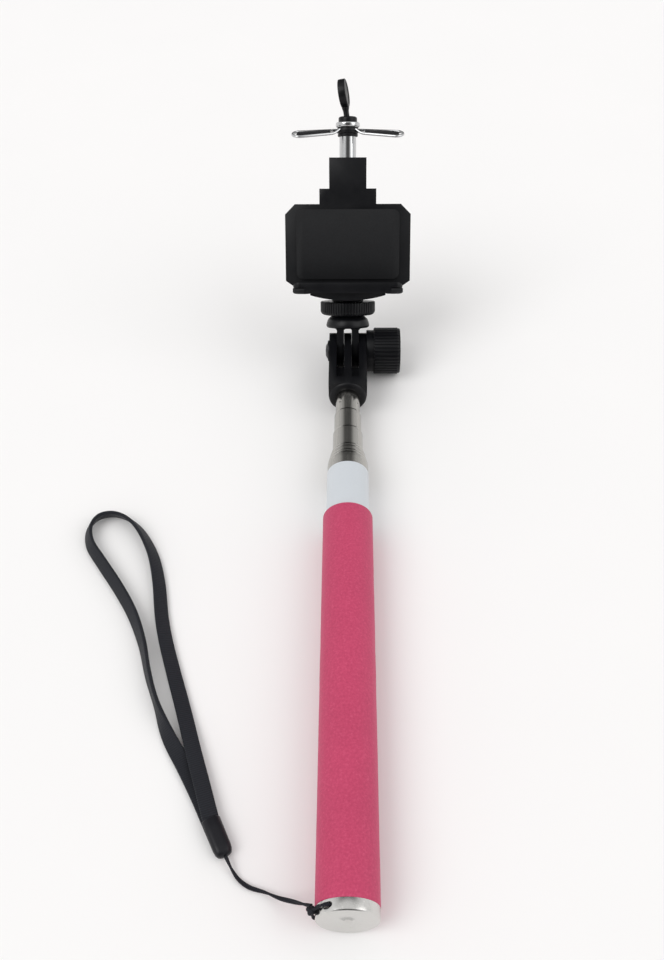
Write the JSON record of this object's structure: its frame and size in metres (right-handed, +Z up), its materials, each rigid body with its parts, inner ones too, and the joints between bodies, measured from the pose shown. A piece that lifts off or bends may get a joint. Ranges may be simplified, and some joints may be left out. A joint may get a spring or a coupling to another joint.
{
  "type": "selfie stick",
  "caption": "Folded telescopic hand-held stick with foam grip, tilting knuckle, swivelling spring phone clamp and wrist strap.",
  "frame": {"origin": "on the surface that the folded stick lies on, below the middle of its length without the wrist strap, in line with the stick's axis", "axes": "+Y along the stick from the end cap to the head, +Z up, +X towards the thumb knob; the clamp faces -Y and up"},
  "size_m": [0.1216, 0.2975, 0.1005],
  "materials": {
    "foam": "soft matte closed-cell foam",
    "steel_tube": "drawn stainless tube, satin bright",
    "label": "plain satin film",
    "cap_metal": "turned and polished",
    "strap_webbing": "tight woven nylon",
    "strap_cord": "braided nylon",
    "ferrule": "satin soft plastic",
    "black_plastic": "moulded, fine texture",
    "rubber": "matte",
    "black_steel": "black oxide",
    "screw_steel": "plain",
    "brass": "plain",
    "aluminium": "machined",
    "white_plastic": "acetal",
    "chrome": "bright plated"
  },
  "bodies": {
    "handle": {"grip_sleeve": "foam", "base_tube": "steel_tube", "label_band": "label", "end_cap": "cap_metal", "strap_knot": "strap_cord", "strap_cord": "strap_cord", "strap_ferrule": "ferrule", "strap_band": "strap_webbing"},
    "tube_6": {"section_6": "steel_tube", "friction_shim_6": "brass"},
    "tube_5": {"section_5": "steel_tube", "friction_shim_5": "brass"},
    "tube_4": {"section_4": "steel_tube", "friction_shim_4": "brass"},
    "tube_3": {"section_3": "steel_tube", "friction_shim_3": "brass"},
    "tube_2": {"section_2": "steel_tube", "friction_shim_2": "brass"},
    "tail_1": {"friction_shim_1": "brass"},
    "neck": {"section_1": "steel_tube", "head_plug": "aluminium", "lower_knuckle": "black_plastic", "cap_nut": "black_steel"},
    "knob": {"thumb_knob": "black_plastic", "knob_screw": "screw_steel"},
    "tilt_head": {"upper_knuckle": "black_plastic", "camera_stud": "screw_steel"},
    "nut": {"lock_nut": "black_plastic"},
    "clamp": {"clamp_body": "black_plastic", "jaw_end_pads": "rubber", "seat_pad": "rubber", "back_pad": "rubber", "stud_insert": "brass", "rear_cover": "black_plastic", "cover_screws": "black_steel", "guide_bush": "white_plastic", "clamp_spring": "screw_steel"},
    "upper_jaw": {"slide_tube": "chrome", "tail_collar": "screw_steel", "tube_plug": "black_plastic", "hub_barrel": "black_plastic", "jaw_arms": "chrome", "arm_pads": "rubber", "hub_ring": "chrome", "hub_cap": "black_plastic"},
    "tab": {"pull_tab": "black_plastic"}
  },
  "joints": [
    {"name": "section_6_slide", "type": "slide", "parent": "handle", "child": "tube_6", "axis": [0, 1, 0], "range_m": [0, 0.144]},
    {"name": "section_5_slide", "type": "slide", "parent": "tube_6", "child": "tube_5", "axis": [0, 1, 0], "range_m": [0, 0.144]},
    {"name": "section_4_slide", "type": "slide", "parent": "tube_5", "child": "tube_4", "axis": [0, 1, 0], "range_m": [0, 0.144]},
    {"name": "section_3_slide", "type": "slide", "parent": "tube_4", "child": "tube_3", "axis": [0, 1, 0], "range_m": [0, 0.144]},
    {"name": "section_2_slide", "type": "slide", "parent": "tube_3", "child": "tube_2", "axis": [0, 1, 0], "range_m": [0, 0.144]},
    {"name": "section_1_slide", "type": "slide", "parent": "tube_2", "child": "tail_1", "axis": [0, 1, 0], "range_m": [0, 0.144]},
    {"name": "neck_turn", "type": "hinge", "parent": "tail_1", "child": "neck", "pos_m": [0, -0.04878, 0.0097], "axis": [0, 1, 0], "continuous": true},
    {"name": "knob_turn", "type": "hinge", "parent": "neck", "child": "knob", "pos_m": [0, 0.08562, 0.0097], "axis": [1, 0, 0], "continuous": true},
    {"name": "head_tilt", "type": "hinge", "parent": "neck", "child": "tilt_head", "pos_m": [0, 0.08562, 0.0097], "axis": [1, 0, 0], "range_deg": [-146, 34]},
    {"name": "lock_nut_turn", "type": "hinge", "parent": "tilt_head", "child": "nut", "pos_m": [0, 0.08562, 0.0097], "axis": [0, 0.5592, 0.829], "continuous": true},
    {"name": "clamp_swivel", "type": "hinge", "parent": "tilt_head", "child": "clamp", "pos_m": [0, 0.08562, 0.0097], "axis": [0, 0.5592, 0.829], "continuous": true},
    {"name": "jaw_slide", "type": "slide", "parent": "clamp", "child": "upper_jaw", "axis": [0, 0.5592, 0.829], "range_m": [0, 0.027], "stiffness_N_per_m": 200, "springref_m": -0.03, "deforming": ["clamp_spring"]},
    {"name": "tab_swing", "type": "hinge", "parent": "upper_jaw", "child": "tab", "pos_m": [0, 0.13651, 0.08514], "axis": [0, -0.829, 0.5592], "range_deg": [-23, 7]}
  ]
}
